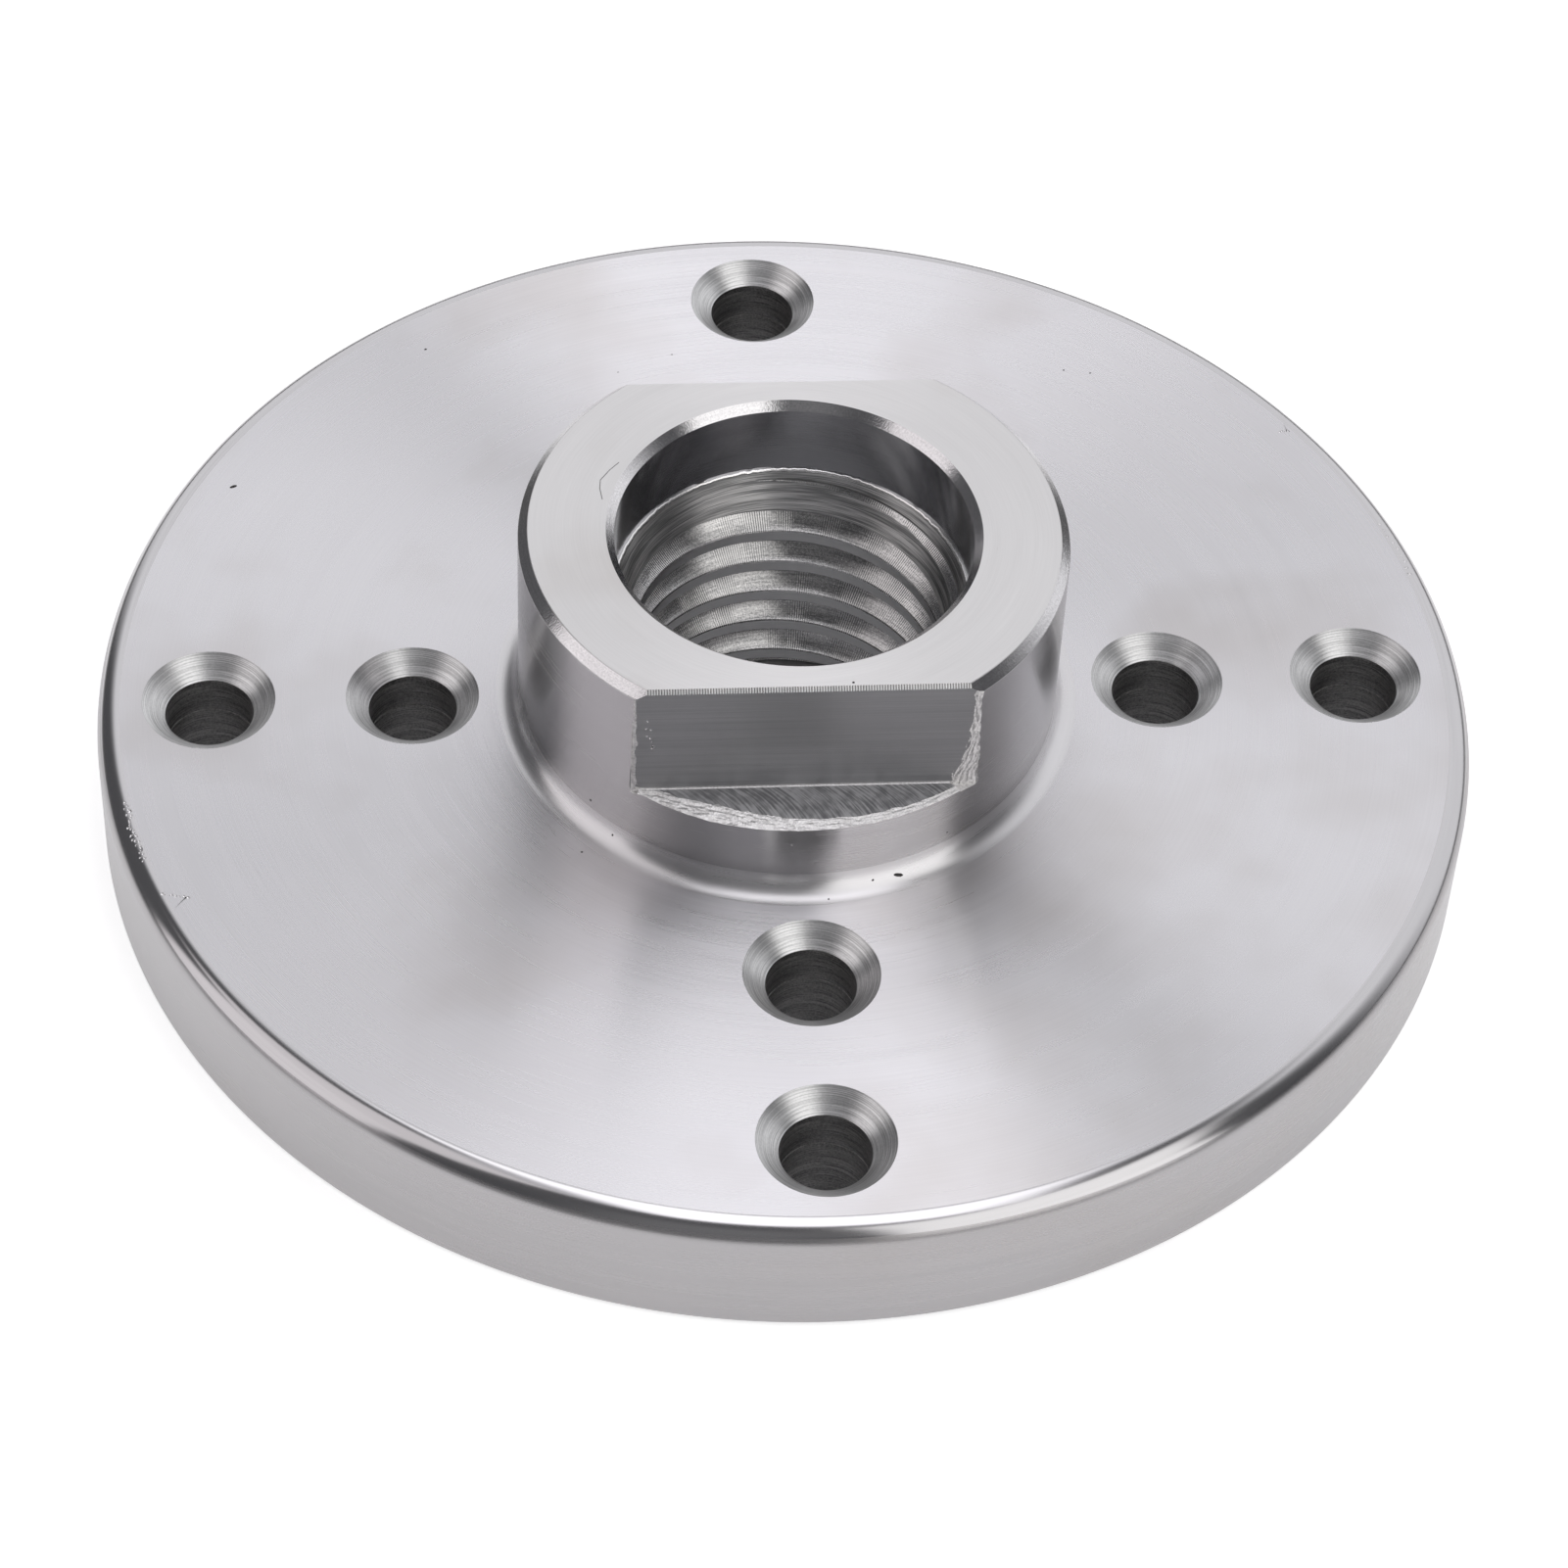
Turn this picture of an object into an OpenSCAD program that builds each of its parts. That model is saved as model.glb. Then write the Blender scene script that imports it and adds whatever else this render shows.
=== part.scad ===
// Threaded faceplate for a lathe spindle, turned from one piece of steel.
// The work face lies on z = 0 and the hub points up along +Z.
// The screw holes lie on +X, +Y, -X and -Y, and the wrench flats face +Y and -Y.

/* [Flange] */
// Outer diameter of the flange
flange_d = 101.6; // [98:0.1:160]
// Thickness of the flange
flange_t = 10; // [6:0.1:20]
// Radius of the rounded edge on the hub side
flange_edge_r = 1.7; // [0.3:0.1:3]
// Width of the edge break round the work face
flange_break = 0.25; // [0.1:0.05:1]

/* [Hub] */
// Outer diameter of the hub
hub_d = 39.7; // [36:0.1:42]
// Height of the hub above the flange
hub_h = 16.4; // [14:0.1:40]
// Width of the chamfer round the hub's shoulder
hub_chamfer = 0.7; // [0.2:0.1:1.5]
// Radius of the fillet where the hub meets the flange
hub_fillet_r = 1.6; // [0.4:0.1:2.5]

/* [Wrench flats] */
// Distance across the two flats
flats_across = 31.5; // [29:0.1:34]
// Length of the flats, down from the hub's shoulder
flats_h = 9.9; // [5:0.1:11.5]
// Width of the chamfer along each flat's top edge
flats_chamfer = 0.4; // [0.1:0.1:0.8]

/* [Spindle bore] */
// Diameter of the register, the smooth recess in the hub's shoulder
register_d = 25.9; // [25.6:0.1:27.5]
// Depth of the register
register_depth = 6.3; // [3:0.1:9]
// Width of the chamfer at the register's mouth
register_chamfer = 0.6; // [0.2:0.1:1.2]
// Major diameter of the thread, where the conical lead starts
thread_major_d = 25.4; // [23.5:0.1:25.5]
// Minor diameter of the thread, the bore that it is cut in
thread_minor_d = 22.5; // [20:0.1:23.2]
// Height of the conical lead between the register and the thread
lead_h = 3.5; // [1:0.1:4]
// Width of the chamfer where the bore leaves the work face
exit_chamfer = 1.2; // [0.2:0.1:2]

/* [Screw holes] */
// Number of arms that the holes lie on
arms = 4; // [3:1:8]
// Distance from the hub's side to the middle of an inner hole
inner_hub_gap = 7.8; // [7.6:0.1:9]
// Distance from the flange's edge to the middle of an outer hole
outer_edge_gap = 8.2; // [7:0.1:10]
// Diameter of a drilled hole
hole_d = 6.5; // [3:0.1:8]
// Mouth diameter of a countersink
countersink_d = 9.8; // [8.5:0.1:10.5]
// Full angle of a countersink, in degrees
countersink_angle = 100; // [60:1:120]

/* [Hidden] */
$fn = 96;
// How far each cutter runs past the surface that it opens
overrun = 1;
flange_r = flange_d / 2;
hub_r = hub_d / 2;
register_r = register_d / 2;
thread_minor_r = thread_minor_d / 2;
hole_r = hole_d / 2;
countersink_r = countersink_d / 2;
// Circles that the middles of the holes lie on
inner_circle_r = hub_r + inner_hub_gap;
outer_circle_r = flange_r - outer_edge_gap;
// Shoulder, foot of the flats, and steps down the bore, as heights
shoulder_z = flange_t + hub_h;
ledge_z = shoulder_z - flats_h;
shelf_z = shoulder_z - register_depth;
thread_top_z = shelf_z - lead_h;
countersink_depth = (countersink_r - hole_r) / tan(countersink_angle / 2);

// Half section of the flange, with its rounded edge and its edge break
module flange_section() {
    difference() {
        polygon([
            [0, 0],
            [flange_r - flange_break, 0],
            [flange_r, flange_break],
            [flange_r, flange_t],
            [0, flange_t]
        ]);
        translate([flange_r - flange_edge_r, flange_t - flange_edge_r])
            difference() {
                square(flange_edge_r + overrun);
                circle(flange_edge_r);
            }
    }
}

// Half section of the hub, from inside the flange up to its chamfered shoulder
module hub_section() {
    polygon([
        [0, flange_t / 2],
        [hub_r, flange_t / 2],
        [hub_r, shoulder_z - hub_chamfer],
        [hub_r - hub_chamfer, shoulder_z],
        [0, shoulder_z]
    ]);
}

// Section of the fillet that fills the corner between hub and flange
module root_fillet_section() {
    root = hub_r - hub_fillet_r / 2;
    difference() {
        translate([root, flange_t - hub_fillet_r / 2])
            square(hub_fillet_r * 1.5);
        translate([hub_r + hub_fillet_r, flange_t + hub_fillet_r])
            circle(hub_fillet_r);
    }
}

// Turned blank: flange, fillet and hub revolved as one body
module turned_blank() {
    rotate_extrude() {
        flange_section();
        hub_section();
        root_fillet_section();
    }
}

// Everything bored from the shoulder down: mouth chamfer, register, shelf,
// conical lead, minor diameter of the thread and exit chamfer
module spindle_bore() {
    rotate_extrude()
        polygon([
            [0, -overrun],
            [thread_minor_r + exit_chamfer + overrun, -overrun],
            [thread_minor_r, exit_chamfer],
            [thread_minor_r, thread_top_z],
            [thread_major_d / 2, shelf_z],
            [register_r, shelf_z],
            [register_r, shoulder_z - register_chamfer],
            [register_r + register_chamfer + overrun, shoulder_z + overrun],
            [0, shoulder_z + overrun]
        ]);
}

// Slab that mills one flat and its ledge, on the +Y side
module flat_cutter() {
    translate([-hub_r - overrun, flats_across / 2, ledge_z])
        cube([hub_d + 2 * overrun, hub_r, flats_h + overrun]);
}

// Bar that breaks the edge between one flat and the shoulder, on the +Y side
module flat_edge_cutter() {
    translate([0, flats_across / 2, shoulder_z])
        rotate([90, 0, 90])
            linear_extrude(height = hub_d + 2 * overrun, center = true)
                polygon([
                    [-flats_chamfer - overrun, overrun],
                    [overrun, overrun],
                    [overrun, -flats_chamfer - overrun]
                ]);
}

// Two parallel wrench flats, each with a broken top edge
module wrench_flats() {
    for (turn = [0, 180])
        rotate([0, 0, turn]) {
            flat_cutter();
            flat_edge_cutter();
        }
}

// Drilled through hole with its countersink on the hub side
module screw_hole() {
    translate([0, 0, -overrun])
        cylinder(r = hole_r, h = flange_t + 2 * overrun);
    slope = (countersink_r - hole_r) / countersink_depth;
    translate([0, 0, flange_t - countersink_depth])
        cylinder(r1 = hole_r, r2 = countersink_r + slope * overrun,
                 h = countersink_depth + overrun);
}

// One circle of countersunk holes
module hole_circle(circle_r) {
    for (arm = [0 : arms - 1])
        rotate([0, 0, arm * 360 / arms])
            translate([circle_r, 0, 0])
                screw_hole();
}

module faceplate() {
    color("silver")
        difference() {
            turned_blank();
            spindle_bore();
            wrench_flats();
            hole_circle(inner_circle_r);
            hole_circle(outer_circle_r);
        }
}

faceplate();
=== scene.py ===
import math
import random

import bpy
import numpy as np
from mathutils import Matrix, Quaternion, Vector, noise


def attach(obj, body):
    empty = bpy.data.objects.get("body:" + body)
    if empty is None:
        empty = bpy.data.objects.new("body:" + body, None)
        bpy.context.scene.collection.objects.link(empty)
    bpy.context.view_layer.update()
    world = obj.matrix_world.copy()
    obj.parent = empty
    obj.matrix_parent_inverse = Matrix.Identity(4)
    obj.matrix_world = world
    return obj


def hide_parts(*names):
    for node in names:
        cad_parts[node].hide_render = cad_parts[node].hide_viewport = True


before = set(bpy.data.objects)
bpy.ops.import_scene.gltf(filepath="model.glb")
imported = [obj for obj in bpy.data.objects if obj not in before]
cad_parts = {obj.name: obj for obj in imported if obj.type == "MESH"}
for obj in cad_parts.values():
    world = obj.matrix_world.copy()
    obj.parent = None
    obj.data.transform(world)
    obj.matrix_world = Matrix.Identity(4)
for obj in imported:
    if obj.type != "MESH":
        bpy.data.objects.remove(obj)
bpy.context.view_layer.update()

# Camera: a long lens in front of the wrench flat, a little to its left, that looks down on the
# hub from about 48 degrees. The picture leans a few degrees, as the photograph does.
mm = 0.001
camera_spot = Vector((-25.63, -249.26, 273.67)) * mm
camera_turn = math.radians(-5.915)
camera_pitch = math.radians(47.589)
camera_lean = math.radians(3.052)

camera_back = Vector((
    math.sin(camera_turn) * math.cos(camera_pitch),
    -math.cos(camera_turn) * math.cos(camera_pitch),
    math.sin(camera_pitch),
))
level_right = Vector((math.cos(camera_turn), math.sin(camera_turn), 0))
level_up = camera_back.cross(level_right)
camera_right = math.cos(camera_lean) * level_right + math.sin(camera_lean) * level_up
camera_up = math.cos(camera_lean) * level_up - math.sin(camera_lean) * level_right

lens = bpy.data.cameras.new("long_lens")
lens.lens = 112.68
lens.sensor_width = 36
lens.clip_start = 0.01
camera = bpy.data.objects.new("camera", lens)
camera.matrix_world = Matrix.Translation(camera_spot) @ Matrix(
    (camera_right, camera_up, camera_back)
).transposed().to_4x4()
bpy.context.scene.collection.objects.link(camera)
bpy.context.scene.camera = camera


# Turned blank: flange and hub in one piece of bright mild steel, faced and turned on a lathe with
# a fine feed and left unplated. Rings run round every face, the rim is rounded over with a form
# tool, the hub's foot has the tool's nose radius, and burrs stand beside the front wrench flat.
flange_r = 50.8
flange_t = 10.0
rim_round_r = 1.7
rim_break = 0.25
hub_r = 19.85
shoulder_z = 26.4
hub_chamfer = 0.7
foot_fillet_r = 1.6
eased_edge = 0.06
sharp_cosine = 0.94
lathe_steps = 384
tiny = 1e-6

left_burr_angle = 232.5
right_burr_angle = 307.5
burr_width = 1.7
burr_heights = [15.8, 16.3, 17.0, 18.5, 20.0, 22.0, 24.0]
left_burr = [0.0, 0.20, 0.27, 0.22, 0.15, 0.08, 0.0]
right_burr = [0.0, 0.10, 0.18, 0.14, 0.08, 0.0, 0.0]

finishes = []


def new_finish(name):
    """A new steel finish: an empty material that later lines give its nodes to."""
    material = bpy.data.materials.new(name)
    material.use_nodes = True
    shader = material.node_tree.nodes["Principled BSDF"]
    shader.inputs["Metallic"].default_value = 1.0
    finishes.append(material)
    return material


def add(material, kind, inputs=None, **settings):
    """Adds one node to a finish and joins or sets its inputs."""
    node = material.node_tree.nodes.new(kind)
    for key, value in settings.items():
        setattr(node, key, value)
    for key, value in (inputs or {}).items():
        if isinstance(value, bpy.types.NodeSocket):
            material.node_tree.links.new(value, node.inputs[key])
        else:
            node.inputs[key].default_value = value
    return node


def maths(material, operation, a, b=0.0):
    return add(material, "ShaderNodeMath", {0: a, 1: b}, operation=operation).outputs[0]


def times(material, a, b):
    return maths(material, "MULTIPLY", a, b)


def vectors(material, operation, a, b=(0.0, 0.0, 0.0)):
    return add(material, "ShaderNodeVectorMath", {0: a, 1: b}, operation=operation).outputs[0]


def scaled(material, vector, factor):
    node = add(material, "ShaderNodeVectorMath", {0: vector}, operation="SCALE")
    if isinstance(factor, bpy.types.NodeSocket):
        material.node_tree.links.new(factor, node.inputs["Scale"])
    else:
        node.inputs["Scale"].default_value = factor
    return node.outputs[0]


def weigh(material, first, second, share):
    """The first value by its share, and the second by the rest."""
    return maths(material, "ADD", times(material, first, share),
                 times(material, second, 1 - share))


def cloud(material, vector, scale, detail=2.0, roughness=0.5):
    """Soft noise, from 0 to 1."""
    node = add(material, "ShaderNodeTexNoise",
               {"Vector": vector, "Scale": scale, "Detail": detail, "Roughness": roughness})
    return node.outputs["Fac"]


def spread(material, value, low, high, to_low, to_high):
    """Maps one range onto another, and holds it there."""
    node = add(material, "ShaderNodeMapRange", {
        "Value": value, "From Min": low, "From Max": high, "To Min": to_low, "To Max": to_high,
    })
    return node.outputs["Result"]


def blend_colour(material, factor, first, second):
    node = add(material, "ShaderNodeMix", {"Factor": factor}, data_type="RGBA")
    for socket, value in ((node.inputs[6], first), (node.inputs[7], second)):
        if isinstance(value, bpy.types.NodeSocket):
            material.node_tree.links.new(value, socket)
        else:
            socket.default_value = (*value, 1.0)
    return node.outputs[2]


def lathe_marks(material):
    """Where a spot lies on the turned surface: direction round the tool's axis, and how far the
    tool had fed, outward or up a wall. Each face knows the axis that it was cut about."""
    wall_feed = 1.7
    spot = add(material, "ShaderNodeTexCoord").outputs["Object"]
    axis = add(material, "ShaderNodeAttribute", attribute_name="tool_axis").outputs["Vector"]
    arm = vectors(material, "SUBTRACT", spot, axis)
    level_arm = vectors(material, "MULTIPLY", arm, (1.0, 1.0, 0.0))
    way = vectors(material, "NORMALIZE", level_arm)
    reach = add(material, "ShaderNodeVectorMath", {0: level_arm}, operation="LENGTH")
    height = add(material, "ShaderNodeSeparateXYZ", {0: arm}).outputs["Z"]
    climbed = times(material, height, wall_feed)
    feed = maths(material, "ADD", reach.outputs["Value"], climbed)
    along = vectors(material, "CROSS_PRODUCT", (0.0, 0.0, 1.0), way)
    return spot, way, feed, along


def ring_noise(material, way, feed, pitch, runs, detail=2.0):
    """Noise drawn out into rings: pitch is the ring spacing in metres, runs how often a ring
    changes on its way round."""
    rings = add(material, "ShaderNodeCombineXYZ", {2: maths(material, "DIVIDE", feed, pitch)})
    spot = vectors(material, "ADD", scaled(material, way, runs), rings.outputs[0])
    return cloud(material, spot, 1.0, detail)


def lay_finish(material, steel, gloss, brushing, along, marks, depth, tallest):
    """Joins the colour, the gloss, the way of the brushing and the relief of a finish to its
    shader. tallest is the height of the deepest mark, in millimetres."""
    shader = material.node_tree.nodes["Principled BSDF"]
    relief = add(material, "ShaderNodeBump", {
        "Height": marks, "Strength": depth, "Distance": tallest * mm,
    })
    for value, socket in ((steel, "Base Color"), (gloss, "Roughness"), (along, "Tangent"),
                          (relief.outputs["Normal"], "Normal")):
        material.node_tree.links.new(value, shader.inputs[socket])
    shader.inputs["Anisotropic"].default_value = brushing
    shader.inputs["Anisotropic Rotation"].default_value = 0.25
    return len(finishes) - 1


def turned_finish(name, colour, dark, roughness, brushing, pitch, depth, tone=0.5, stain=0.0,
                  grain=0.0, chatter=0, runs=3.0, fine_share=0.55):
    """Steel as a lathe tool leaves it: rings in tone, in gloss and in height, light spread across
    the rings, and a faint brownish bloom where oil has dried. grain is the share of torn, uneven
    metal, chatter the number of ticks that the tool left on its way round, runs how often a ring
    changes on its way round, and fine_share the share of fine rings against broad ones."""
    dried_oil = (0.47, 0.42, 0.38)
    material = new_finish(name)
    spot, way, feed, along = lathe_marks(material)
    fine = ring_noise(material, way, feed, pitch * mm, runs)
    broad = ring_noise(material, way, feed, pitch * 9 * mm, runs / 2)
    patch = cloud(material, spot, 60.0, 3.0)
    mixed = weigh(material, fine, broad, fine_share)
    if grain:
        torn = cloud(material, spot, 7000.0, 3.0)
        mixed = weigh(material, torn, mixed, grain)
    if chatter:
        turned = add(material, "ShaderNodeSeparateXYZ", {0: way})
        turn = maths(material, "ARCTAN2", turned.outputs["Y"], turned.outputs["X"])
        ticks = maths(material, "SINE", times(material, turn, float(chatter)))
        place = vectors(material, "ADD", scaled(material, way, 4.0),
                        scaled(material, spot, 130.0))
        loud = spread(material, cloud(material, place, 1.0, 1.0), 0.44, 0.72, 0.0, 0.30)
        mixed = maths(material, "ADD", mixed, times(material, ticks, loud))
    shade = spread(material, mixed, 0.5 - tone / 2, 0.5 + tone / 2, 0.0, 1.0)
    steel = blend_colour(material, shade, dark, colour)
    if stain:
        bloom = spread(material, patch, 0.52, 0.72, 0.0, stain)
        steel = blend_colour(material, bloom, steel, dried_oil)
    worn = maths(material, "ADD", mixed, times(material, patch, 0.5))
    gloss = spread(material, worn, 0.45, 1.05, roughness * 0.82, roughness * 1.2)
    return lay_finish(material, steel, gloss, brushing, along, mixed, depth, tallest=0.02)


flange_top = turned_finish("faced_flange_steel", (0.77, 0.76, 0.78), (0.69, 0.68, 0.70),
                           0.28, 1.0, 0.16, 0.09, stain=0.25)
work_face = turned_finish("faced_back_steel", (0.66, 0.66, 0.68), (0.54, 0.54, 0.56),
                          0.28, 0.75, 0.22, 0.5, stain=0.2)
shoulder = turned_finish("faced_shoulder_steel", (0.73, 0.72, 0.72), (0.66, 0.65, 0.65),
                         0.32, 0.6, 0.12, 0.2, stain=0.3)
# The rim's steel is coloured darker than the other turned steel: painted shade for the dim floor that
# the rim's side mirrors.
rim_side_painted_shade = turned_finish("turned_rim_painted_shade_steel", (0.53, 0.515, 0.525), (0.46, 0.45, 0.46),
                         0.26, 0.7, 0.18, 0.35, stain=0.15)
rim_round = turned_finish("rounded_rim_steel", (0.64, 0.63, 0.64), (0.56, 0.55, 0.56),
                          0.16, 0.5, 0.12, 0.2)
hub_side = turned_finish("turned_hub_steel", (0.60, 0.59, 0.60), (0.50, 0.49, 0.50),
                         0.25, 0.9, 0.14, 0.2, stain=0.1)
foot_fillet = turned_finish("fillet_steel", (0.74, 0.73, 0.74), (0.66, 0.65, 0.66),
                            0.28, 0.9, 0.10, 0.2)
chamfer = turned_finish("chamfer_steel", (0.84, 0.83, 0.84), (0.62, 0.61, 0.62),
                        0.14, 0.5, 0.10, 0.8, tone=0.30, grain=0.5)


def cut(finish, *spots):
    """Straight cuts of an outline, from one (radius, height) to the next, with their normals."""
    cuts = []
    for start, end in zip(spots, spots[1:]):
        length = math.dist(start, end)
        normal = ((end[1] - start[1]) / length, (start[0] - end[0]) / length)
        cuts.append((start, end, normal, normal, finish))
    return cuts


def sweep(centre, radius, from_angle, to_angle, steps, finish):
    """A round in an outline. It bulges where its angles rise, and is hollow where they fall."""
    bulge = 1 if to_angle > from_angle else -1
    cuts = []
    for step in range(steps):
        ends = [math.radians(from_angle + (to_angle - from_angle) * s / steps)
                for s in (step, step + 1)]
        spots = [(centre[0] + radius * math.cos(a), centre[1] + radius * math.sin(a)) for a in ends]
        normals = [(bulge * math.cos(a), bulge * math.sin(a)) for a in ends]
        cuts.append((*spots, *normals, finish))
    return cuts


def ease_corners(cuts, width):
    """Breaks each sharp corner of an outline by a hair, as handling and a worn tool do."""
    eased = []
    for i, (start, end, normal_a, normal_b, finish) in enumerate(cuts):
        length = math.dist(start, end)
        sharp = []
        for other, mine in ((cuts[i - 1][3], normal_a), (cuts[(i + 1) % len(cuts)][2], normal_b)):
            sharp.append(other[0] * mine[0] + other[1] * mine[1] < sharp_cosine)
        back = min(width, length * 0.3)
        begin, stop = start, end
        if sharp[0] and start[0] >= tiny:
            begin = tuple(s + (e - s) * back / length for s, e in zip(start, end))
        if sharp[1] and end[0] >= tiny:
            stop = tuple(e + (s - e) * back / length for s, e in zip(start, end))
        eased.append((begin, stop, normal_a, normal_b, finish))
    joined = []
    for i, this in enumerate(eased):
        joined.append(this)
        following = eased[(i + 1) % len(eased)]
        apart = math.dist(this[1], following[0]) > 1e-9
        if apart and this[1][0] > tiny and following[0][0] > tiny:
            corner = cuts[i][1]
            middle = tuple(0.25 * a + 0.5 * c + 0.25 * b
                           for a, c, b in zip(this[1], corner, following[0]))
            halfway = (this[3][0] + following[2][0], this[3][1] + following[2][1])
            size = math.hypot(*halfway)
            halfway = (halfway[0] / size, halfway[1] / size)
            joined.append((this[1], middle, this[3], halfway, following[4]))
            joined.append((middle, following[0], halfway, following[2], following[4]))
    return joined


def make_solid(name, points, faces, normals, face_finishes, axis=(0.0, 0.0)):
    """A closed solid, sizes in millimetres. It keeps the true normal of every corner, the finish
    of every face and the axis that the tool turned about."""
    volume = 0.0
    for face in faces:
        first = Vector(points[face[0]])
        for second, third in zip(face[1:-1], face[2:]):
            volume += first.dot(Vector(points[second]).cross(Vector(points[third])))
    if volume < 0:
        faces = [list(face)[::-1] for face in faces]
        normals = [list(face)[::-1] for face in normals]
    mesh = bpy.data.meshes.new(name)
    mesh.from_pydata([(x * mm, y * mm, z * mm) for x, y, z in points], [], faces)
    mesh.attributes.new("true_normal", "FLOAT_VECTOR", "CORNER")
    mesh.attributes.new("tool_axis", "FLOAT_VECTOR", "FACE")
    mesh.polygons.foreach_set("material_index", face_finishes)
    mesh.attributes["true_normal"].data.foreach_set(
        "vector", np.array([n for face in normals for n in face], dtype=float).ravel())
    mesh.attributes["tool_axis"].data.foreach_set(
        "vector", np.tile((axis[0] * mm, axis[1] * mm, 0.0), len(faces)))
    solid = bpy.data.objects.new(name, mesh)
    bpy.context.scene.collection.objects.link(solid)
    return solid


def revolve(name, cuts, steps, axis=(0.0, 0.0), ragged=None):
    """Turns an outline about an upright axis. ragged(step, radius, height) may shift a point."""
    angles = [2 * math.pi * s / steps for s in range(steps)]
    points, rings = [], []
    for start, _, _, _, _ in cuts:
        radius, height = start
        if radius < tiny:
            rings.append([len(points)] * steps)
            points.append((axis[0], axis[1], height))
            continue
        rings.append(list(range(len(points), len(points) + steps)))
        for step, angle in enumerate(angles):
            r, z = ragged(step, radius, height) if ragged else (radius, height)
            points.append((axis[0] + r * math.cos(angle), axis[1] + r * math.sin(angle), z))
    faces, normals, face_finishes = [], [], []
    for i, (start, end, normal_a, normal_b, finish) in enumerate(cuts):
        near, far = rings[i], rings[(i + 1) % len(cuts)]
        if start[0] < tiny and end[0] < tiny:
            continue
        for step in range(steps):
            after = (step + 1) % steps
            corners = [(near[step], step, normal_a), (near[after], step + 1, normal_a),
                       (far[after], step + 1, normal_b), (far[step], step, normal_b)]
            kept = []
            for corner in corners:
                if corner[0] not in [k[0] for k in kept]:
                    kept.append(corner)
            faces.append([k[0] for k in kept])
            turns = [(2 * math.pi * s / steps, n) for _, s, n in kept]
            normals.append([(n[0] * math.cos(turn), n[0] * math.sin(turn), n[1]) for turn, n in turns])
            face_finishes.append(finish)
    return make_solid(name, points, faces, normals, face_finishes, axis)


def push_burr(step, radius, height):
    """Pushes the hub's side out a little beside the front flat, as the mill did when it left."""
    if abs(radius - hub_r) < tiny:
        angle = 360 * step / lathe_steps
        for corner, burr in ((left_burr_angle, left_burr), (right_burr_angle, right_burr)):
            swell = float(np.interp(height, burr_heights, burr))
            radius += swell * math.exp(-((angle - corner) / burr_width) ** 2)
    return radius, height


hub_heights = [flange_t + foot_fillet_r, *burr_heights, shoulder_z - hub_chamfer]
rim_centre = (flange_r - rim_round_r, flange_t - rim_round_r)
fillet_centre = (hub_r + foot_fillet_r, flange_t + foot_fillet_r)
blank_outline = (
    cut(work_face, (0, 0), (flange_r - rim_break, 0))
    + cut(chamfer, (flange_r - rim_break, 0), (flange_r, rim_break))
    + cut(rim_side_painted_shade, (flange_r, rim_break), (flange_r, flange_t - rim_round_r))
    # The lower part of the rim's round takes the darker rim steel: painted shade where it mirrors the
    # floor.
    + sweep(rim_centre, rim_round_r, 0, 35, 7, rim_side_painted_shade)
    + sweep(rim_centre, rim_round_r, 35, 90, 11, rim_round)
    + cut(flange_top, (flange_r - rim_round_r, flange_t), (hub_r + foot_fillet_r, flange_t))
    + sweep(fillet_centre, foot_fillet_r, 270, 180, 14, foot_fillet)
    + cut(hub_side, *[(hub_r, height) for height in hub_heights])
    + cut(chamfer, (hub_r, shoulder_z - hub_chamfer), (hub_r - hub_chamfer, shoulder_z))
    + cut(shoulder, (hub_r - hub_chamfer, shoulder_z), (0, shoulder_z), (0, 0))
)
faceplate = revolve("steel_faceplate", ease_corners(blank_outline, eased_edge), lathe_steps,
                    ragged=push_burr)


# Spindle bore: bored from the hub's shoulder in one setting. It has a chamfered mouth, a smooth
# register, a narrow shelf with a torn lip, a rough conical lead and a right-hand thread of 8 turns
# to the inch, cut with a single-point tool, which chattered on the flanks.
register_r = 12.95
mouth_chamfer = 0.6
shelf_z = 20.1
lead_top_r = 12.7
crest_r = 11.25
lead_foot_z = 16.6
exit_chamfer = 1.2
overrun = 1.0
shelf_edge_r = 0.20
lip_depth = 0.3
lip_tear = 0.05
nick_width = 0.2
nick_drop = 0.12

thread_pitch = 3.175
# The tool's side, from the crest to the root, as radius, half width and lean in degrees
flank_marks = [(11.32, 1.055, 29), (11.5, 0.95, 33), (11.75, 0.77, 38), (12.0, 0.56, 42),
               (12.25, 0.325, 45), (12.45, 0.12, 48)]
crest_ease = 0.13
crest_clearance = 0.02
groove_height = 18.59
tool_reach_r = 10.7
thread_steps = 216
thread_from_z = -2.6
thread_to_z = 22.6

# The register's steel is coloured darker than the rest of the bore: painted shade on the wall inside
# the hub's mouth.
register_wall_painted_shade = turned_finish("bored_register_painted_shade_steel", (0.42, 0.42, 0.44), (0.34, 0.34, 0.36),
                              0.14, 0.4, 0.20, 0.25)
# The shelf and its rounded lip are coloured near white: a painted highlight along the torn lip.
shelf_ring_painted_highlight = turned_finish("shelf_painted_highlight_steel", (1.0, 0.99, 0.98), (0.80, 0.79, 0.78),
                           0.22, 0.0, 0.08, 0.5, tone=0.3, grain=0.5)
lead_cone = turned_finish("lead_cone_steel", (0.84, 0.83, 0.82), (0.30, 0.30, 0.30),
                          0.34, 0.9, 0.12, 0.7, tone=0.16)
thread_crest = turned_finish("thread_crest_steel", (0.70, 0.70, 0.71), (0.60, 0.60, 0.61),
                             0.34, 0.5, 0.16, 0.25)
thread_flank = turned_finish("thread_flank_steel", (0.72, 0.71, 0.70), (0.26, 0.26, 0.26),
                             0.24, 0.5, 0.14, 0.5, tone=0.20, grain=0.4, chatter=430)
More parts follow.
